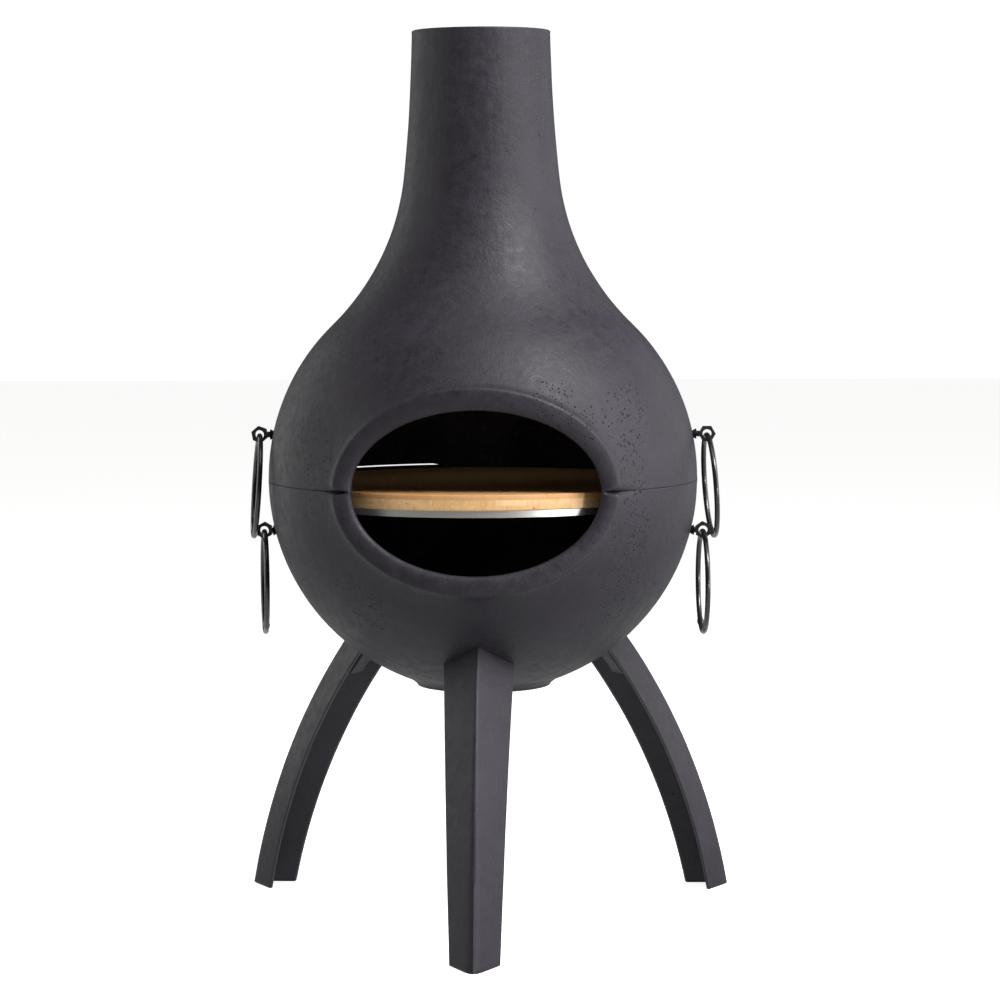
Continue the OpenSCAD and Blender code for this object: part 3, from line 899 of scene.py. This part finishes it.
def finish(name):
    """The named material, made once."""
    body, board, ring = settings("body"), settings("board"), settings("ring")
    makers = {
        "charcoal_cast_iron": lambda: cast_iron(tuple(body.iron)),
        "sooted_iron": lambda: sooted_iron(tuple(body.inside_painted_light)),
        "laminated_wood": lambda: laminated_wood(tuple(board.pale_wood), tuple(board.dark_wood), board.strip),
        "grill_steel": lambda: bare_steel(tuple(board.steel)),
        "black_lacquer": lambda: black_lacquer(tuple(ring.lacquer)),
        "zinc_plate": lambda: plated_steel(tuple(ring.zinc)),
    }
    return bpy.data.materials.get(name) or makers[name]()


def refinish(node, name, bevel=0.0):
    """Gives a carried-over node its material and soft edges."""
    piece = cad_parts[node]
    piece.data.materials.clear()
    piece.data.materials.append(finish(name))
    if bevel:
        edge = piece.modifiers.new("soft edges", "BEVEL")
        edge.width = bevel
        edge.segments = 2
        edge.limit_method = "ANGLE"
        edge.angle_limit = rad(40)
    return piece


# ---------------------------------------------------------------- operators

WHITE = (1.0, 1.0, 1.0)
# Name, place, the point it shines at, width and height, setting that gives its power, and colour
LIGHTS = (
    ("key_light", (1.6, -1.25, 2.7), (0.03, 0.0, 0.5), (0.9, 0.9), "key", (0.995, 0.965, 1.0)),
    ("strip_light", (2.0, -1.85, 0.25), (0.05, 0.0, 0.45), (0.35, 0.46), "fill", WHITE),
    ("overhead_light", (0.2, -0.5, 2.7), (0.0, 0.0, 0.5), (1.6, 1.4), "overhead", WHITE),
    ("right_wall_light", (2.3, -0.35, 1.1), (0.1, 0.0, 0.6), (1.5, 2.2), "right_wall", (0.97, 0.98, 1.0)),
    ("left_wall_light", (-2.3, -0.2, 1.0), (-0.1, 0.0, 0.5), (1.5, 2.2), "left_wall", (1.0, 0.995, 0.985)),
    ("right_rim_light", (1.7, 1.3, 0.9), (0.1, 0.0, 0.5), (1.2, 1.8), "rim_light", WHITE),
    ("left_rim_light", (-1.7, 1.3, 0.9), (-0.1, 0.0, 0.5), (1.2, 1.8), "rim_light", WHITE),
)


class CHIMINEA_OT_stage(Operator):
    """Camera, pale floor and soft studio light"""

    bl_idname = "chiminea.stage"
    bl_label = "Stage"

    def execute(self, context):
        s = settings("stage")
        scene = context.scene
        data = bpy.data.cameras.new("camera")
        data.sensor_width = 36
        data.lens = s.lens
        data.clip_end = 60
        camera = bpy.data.objects.new("camera", data)
        scene.collection.objects.link(camera)
        x, y = sin(s.azimuth) * s.distance, AXIS_Y - cos(s.azimuth) * s.distance
        place = Matrix.Translation((x, y, s.height))
        turn, flat = s.azimuth + s.pan, cos(s.pitch)
        ahead = Vector((-sin(turn) * flat, cos(turn) * flat, sin(s.pitch)))
        level = ahead.cross(Vector((0, 0, 1))).normalized()
        upright = level.cross(ahead)
        right = level * cos(s.roll) + upright * sin(s.roll)
        up = -level * sin(s.roll) + upright * cos(s.roll)
        camera.matrix_world = place @ Matrix((right, up, -ahead)).transposed().to_4x4()
        scene.camera = camera
        self.floor(s)
        for name, at, to, size, power, colour in LIGHTS:
            self.light(name, at, to, size, getattr(s, power), colour)
        self.room(scene, s)
        scene.view_settings.view_transform = "Standard"
        return {"FINISHED"}

    def floor(self, s):
        """A wide pale floor."""
        sheet = Sheet()
        half, steps = 14.0, 28
        ticks = [lerp(-half, half, i / steps) for i in range(steps + 1)]
        sheet.grid([[(x, y, 0.0) for x in ticks] for y in ticks])
        f = Finish("pale_floor", Specular_IOR_Level=0.1, Emission_Strength=s.glow)
        f.set(f.shader, {"Emission Color": (*s.floor, 1.0)})
        cloud = f.span(f.noise(2.0, 2.0), 0.3, 0.7, 0.0, 0.06)
        material = f.done(f.mix(cloud, tuple(s.floor), tint(s.floor, 0.97)), 0.9)
        piece = sheet.piece("floor", [material])
        for vertex in piece.data.vertices:
            vertex.co.z = -0.0002
        # The floor is seen, and its light doesn't reach the object, which the room light fills from below
        piece.visible_diffuse = False
        piece.visible_glossy = False

    def light(self, name, at, to, size, power, colour):
        """A rectangular lamp that the camera doesn't see."""
        data = bpy.data.lights.new(name, "AREA")
        data.shape = "RECTANGLE"
        data.size, data.size_y = size
        data.energy = power
        data.color = colour
        lamp = bpy.data.objects.new(name, data)
        bpy.context.scene.collection.objects.link(lamp)
        lamp.location = at
        lamp.rotation_euler = (Vector(to) - Vector(at)).to_track_quat("-Z", "Y").to_euler()
        lamp.visible_camera = False

    def room(self, scene, s):
        """Even light from all round, which the camera sees as white."""
        world = bpy.data.worlds.new("studio")
        n = Nodes(world)
        # Below the horizon the room is brighter: the white floor throws light up
        up = n.node("SeparateXYZ", "Z", _0=n.node("TexCoord", "Generated"))
        level = n.node("MapRange", Value=up, From_Min=-0.45, From_Max=0.0, To_Min=s.bounce, To_Max=s.room)
        soft = n.node("Background", Color=(*WHITE, 1.0), Strength=level)
        seen = n.node("Background", Color=(*WHITE, 1.0), Strength=1.05)
        mixed = n.node("MixShader", _0=n.node("LightPath", "Is Camera Ray"), _1=soft, _2=seen)
        n.node("OutputWorld", Surface=mixed)
        scene.world = world


class CHIMINEA_OT_hood(Operator):
    """Hood with the mouth's upper half, neck and chimney"""

    bl_idname = "chiminea.hood"
    bl_label = "Hood"

    def execute(self, context):
        skins = [finish("charcoal_cast_iron"), finish("sooted_iron")]
        piece = body_half("hood_casting", True, settings("body"), skins)
        on_body(piece, "upper", "cast_iron", "hood")
        return {"FINISHED"}


class CHIMINEA_OT_bowl(Operator):
    """Bowl with the mouth's lower half, and the ledges that carry the grill"""

    bl_idname = "chiminea.bowl"
    bl_label = "Bowl"

    def execute(self, context):
        skins = [finish("charcoal_cast_iron"), finish("sooted_iron")]
        piece = body_half("bowl_casting", False, settings("body"), skins)
        on_body(piece, "lower", "cast_iron", "lower_bowl")
        inner = BODY_R - settings("body").wall
        on_body(self.ledges(inner), "lower", "cast_iron")
        on_body(self.bolt_seats(inner), "lower", "cast_iron")
        return {"FINISHED"}

    def ledges(self, inner):
        """Three ledges with upright tabs that centre the hood."""
        sheet = Sheet()
        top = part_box("grill_rim")[0].z
        low, half = top - 0.017, 0.014
        tab_out, tab = inner - 0.0012, 0.006
        for angle in LEDGE_ANGLES:
            # Side view: ledge, tab and root, as (radius, height)
            side = [
                (0.204, top), (0.204, low), (inner + 0.002 - 0.004, low - 0.004), (inner + 0.003, top),
                (inner + 0.003, SEAM_Z - 0.0002), (tab_out, SEAM_Z - 0.0002), (tab_out, SEAM_Z + 0.012),
                (tab_out - tab, SEAM_Z + 0.012), (tab_out - tab, top),
            ]
            radii = [0.0015, 0.003, 0.0005, 0.0005, 0.0005, 0.001, 0.0015, 0.0015, 0.001]
            shape = rounded(side, radii, 3)
            c, n = cos(rad(angle)), sin(rad(angle))
            hub = Vector((0.222, (low + top) / 2))
            rows = []
            for y, pull in ((-half, 0.03), (-half + 0.0008, 0.0), (0, 0), (half - 0.0008, 0.0), (half, 0.03)):
                row = []
                for r, z in shape:
                    if pull:
                        r, z = Vector((r, z)).lerp(hub, pull)
                    row.append((r * c - y * n, r * n + y * c, z))
                rows.append(row)
            sheet.bar(rows)
        return sheet.piece("grill_ledges", [finish("sooted_iron")], 40)

    def bolt_seats(self, inner):
        """Raised seats round the leg bolts inside the bowl."""
        sheet = Sheet()
        slope, around, face = rad(50), 36, inner - 0.003
        # Section of a seat as (radius, depth under its face)
        section = (
            (0.0052, 0.006), (0.0052, 0), (0.0122, 0), (0.0128, 0.0003), (0.013, 0.001), (0.0136, 0.006),
        )
        for _, angle in LEG_ANGLES:
            flat = cos(slope)
            out = Vector((cos(rad(angle)) * flat, sin(rad(angle)) * flat, -sin(slope)))
            u = out.orthogonal().normalized()
            v = out.cross(u)
            turns = [u * cos(TAU * k / around) + v * sin(TAU * k / around) for k in range(around)]
            hub = Vector((0, 0, BALL_Z))
            rows = [[tuple(hub + out * (face + d) + turn * r) for turn in turns] for r, d in section]
            sheet.grid(rows + rows[:1], closed=True)
        return sheet.piece("bolt_seats", [finish("sooted_iron")], 40)


class CHIMINEA_OT_legs(Operator):
    """Three legs of angle section"""

    bl_idname = "chiminea.legs"
    bl_label = "Legs"

    def execute(self, context):
        for name, angle in LEG_ANGLES:
            piece = leg_piece(name + "_casting", angle, settings("leg"), [finish("charcoal_cast_iron")])
            on_body(piece, "lower", "cast_iron", name)
        return {"FINISHED"}


class CHIMINEA_OT_board(Operator):
    """Round serving board of glued wooden strips"""

    bl_idname = "chiminea.board"
    bl_label = "Serving board"

    def execute(self, context):
        s = settings("board")
        low, high, r, b, g = BOARD_LOW.z, BOARD_HIGH.z, BOARD_R, s.bevel, s.groove
        third = (high - low) / 3
        outline = [(0, low), (0.05, low), (0.12, low), (r - 0.03, low), (r - b * 1.2, low)]
        outline += quarter(r - b, low + b, b, rad(-90))
        for line in (low + third, low + 2 * third):
            steps = ((0, -0.0009), (0, -0.0003), (g, 0), (0, 0.0003), (0, 0.0009))
            outline += [(r - inward, line + up) for inward, up in steps]
        outline += quarter(r - b, high - b, b, 0)
        outline += [(r - b * 1.2, high), (r - 0.03, high), (0.12, high), (0.05, high), (0, high)]
        piece = lathe(outline, 240).piece("board_laminate", [finish("laminated_wood")], 30)
        on_body(piece, "board", "board_wood", "serving_board")
        return {"FINISHED"}


class CHIMINEA_OT_grill(Operator):
    """Grill: rim, bars and cross bars"""

    bl_idname = "chiminea.grill"
    bl_label = "Grill"

    def execute(self, context):
        refinish("grill_rim", "grill_steel", 0.0005)
        refinish("grill_bars", "grill_steel")
        refinish("grill_cross_bars", "grill_steel")
        on_body(self.welds(), "grill", "grill_steel")
        return {"FINISHED"}

    def welds(self):
        """Small weld beads where the bars cross."""
        low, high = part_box("grill_cross_bars")
        bars_low, bars_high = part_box("grill_bars")
        bar = bars_high.z - bars_low.z
        span = bars_high.x - bars_low.x - bar
        pitch, reach = 0.019, 0.203
        count = round(span / pitch) + 1
        sheet = Sheet()
        for y in (low.y + bar / 2 - AXIS_Y, high.y - bar / 2 - AXIS_Y):
            for i in range(count):
                x = lerp(-span / 2, span / 2, i / (count - 1))
                if x * x + y * y > reach**2:
                    continue
                size = 0.0017 + 0.0003 * sin(x * 900 + y * 70)
                for side in (-1, 1):
                    self.bead(sheet, (x + side * bar * 0.42, y, bars_low.z - bar * 0.02), size)
        return sheet.piece("grill_welds", [finish("grill_steel")], 60)

    def bead(self, sheet, at, r):
        """A drop of weld, longer along the cross bar's side and slightly flat."""
        rows = []
        for level in range(-90, 91, 30):
            flat, up = r * cos(rad(level)), 0.8 * r * sin(rad(level))
            turns = [TAU * k / 10 for k in range(10)]
            rows.append(
                [(at[0] + flat * cos(t), at[1] + 1.5 * flat * sin(t), at[2] + up) for t in turns]
            )
        sheet.grid(rows, closed=True)


class CHIMINEA_OT_rings(Operator):
    """Four lifting rings with their welds"""

    bl_idname = "chiminea.rings"
    bl_label = "Lifting rings"

    def execute(self, context):
        # Node, body, side, turn about the upright, lean outwards and the weld's place, in degrees
        rings = (
            ("left_upper_ring", "ring_left_upper", -1, 8.6, 4, 250),
            ("right_upper_ring", "ring_right_upper", 1, 5, 3.9, 290),
            ("left_lower_ring", "ring_left_lower", -1, 8.4, 0, 235),
            ("right_lower_ring", "ring_right_lower", 1, 4, 0, 300),
        )
        for node, body, side, yaw, lean, weld in rings:
            on_body(self.ring(node, side, rad(yaw), rad(lean), rad(weld)), body, "black_steel", node)
        return {"FINISHED"}

    def ring(self, node, side, yaw, lean, weld):
        """A round wire bent to a ring, a little thicker at its weld."""
        s = settings("ring")
        low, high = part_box(node)
        centre = (low + high) / 2
        size, weld_length, around = 0.057, 0.0032, 20
        turn = Matrix.Rotation(yaw, 3, "Z") @ Matrix.Rotation(-side * lean, 3, "Y")
        rows = []
        for i in range(s.turns):
            a = TAU * i / s.turns
            off = abs((a - weld + pi) % TAU - pi) * size
            r = s.wire / 2 + s.weld * exp(-((off / weld_length) ** 2)) * (1 + 0.25 * sin(a * 260))
            row = []
            for k in range(around):
                t = TAU * k / around
                reach = size + r * cos(t)
                p = turn @ Vector((r * sin(t), reach * cos(a), reach * sin(a)))
                row.append((p.x + centre.x, p.y + centre.y - AXIS_Y, p.z + centre.z))
            rows.append(row)
        sheet = Sheet()
        sheet.grid(rows + rows[:1], closed=True)
        return sheet.piece(node + "_wire", [finish("black_lacquer")], 60)


class CHIMINEA_OT_hardware(Operator):
    """Finishes of the bolts, nuts and washers"""

    bl_idname = "chiminea.hardware"
    bl_label = "Bolts and nuts"

    def execute(self, context):
        for level in ("upper", "lower"):
            refinish(f"left_{level}_eye_bolt", "black_lacquer", 0.0006)
            refinish(f"right_{level}_eye_bolt", "black_lacquer", 0.0006)
            refinish(level + "_eye_outer_nuts", "black_lacquer", 0.0003)
            refinish(level + "_eye_washers", "zinc_plate", 0.0003)
            refinish(level + "_eye_inner_nuts", "zinc_plate", 0.0004)
            on_body(self.threads(level), level, "black_steel")
        refinish("leg_bolts", "zinc_plate", 0.0005)
        refinish("leg_washers", "zinc_plate", 0.0003)
        return {"FINISHED"}

    def threads(self, level):
        """The threads that show between an eye and the nut against the body."""
        sheet = Sheet()
        pitch, root, crest = 1.25 * MM, 2.9 * MM, 3.7 * MM
        inward, eye_depth, per_turn = 1.2 * MM, 18.0 * MM, 24
        for side, word in ((-1, "left"), (1, "right")):
            low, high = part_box(f"{word}_{level}_eye_bolt")
            nut_low, nut_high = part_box(f"{level}_eye_outer_nuts")
            z = (nut_low.z + nut_high.z) / 2
            start = nut_high.x - inward
            end = (high.x if side > 0 else -low.x) - eye_depth
            turns = max((end - start) / pitch, 2.0)
            steps = int(turns * per_turn)
            rows = []
            for i in range(steps + 1):
                a = TAU * turns * i / steps
                x = start + pitch * turns * i / steps
                fade = (min(i, steps - i, 8) + 1) / 9
                ridge = lerp(root, crest, fade)
                row = []
                for r, dx in ((root, -0.49), (ridge, -0.12), (ridge, 0.12), (root, 0.49)):
                    row.append((side * (x + dx * pitch), r * cos(a), z + r * sin(a)))
                rows.append(row)
            sheet.bar(rows)
        return sheet.piece(level + "_eye_threads", [finish("black_lacquer")], 30)


STEPS = (
    CHIMINEA_OT_stage,
    CHIMINEA_OT_hood,
    CHIMINEA_OT_bowl,
    CHIMINEA_OT_legs,
    CHIMINEA_OT_board,
    CHIMINEA_OT_grill,
    CHIMINEA_OT_rings,
    CHIMINEA_OT_hardware,
)

GROUPS = {
    "body": ChimineaBodySizes,
    "leg": ChimineaLegSizes,
    "board": ChimineaBoardSizes,
    "ring": ChimineaRingSizes,
    "stage": ChimineaStageSizes,
}


class CHIMINEA_PT_panel(Panel):
    """Sizes, colours and the steps that build the chiminea"""

    bl_idname = "CHIMINEA_PT_panel"
    bl_label = "Chiminea"
    bl_space_type = "VIEW_3D"
    bl_region_type = "UI"
    bl_category = "Chiminea"

    def draw(self, context):
        for key, group in GROUPS.items():
            box = self.layout.box()
            box.label(text=group.__doc__)
            for name in group.__annotations__:
                box.prop(settings(key), name)
        for step in STEPS:
            self.layout.operator(step.bl_idname)


def register():
    for group in (*GROUPS.values(), *STEPS, CHIMINEA_PT_panel):
        bpy.utils.register_class(group)
    for key, group in GROUPS.items():
        setattr(bpy.types.Scene, "chiminea_" + key, PointerProperty(type=group))


def unregister():
    for key in GROUPS:
        delattr(bpy.types.Scene, "chiminea_" + key)
    for group in (CHIMINEA_PT_panel, *reversed(STEPS), *GROUPS.values()):
        bpy.utils.unregister_class(group)


def main():
    register()
    for step in STEPS:
        getattr(bpy.ops.chiminea, step.bl_idname.split(".")[1])()


if __name__ == "__main__":
    main()
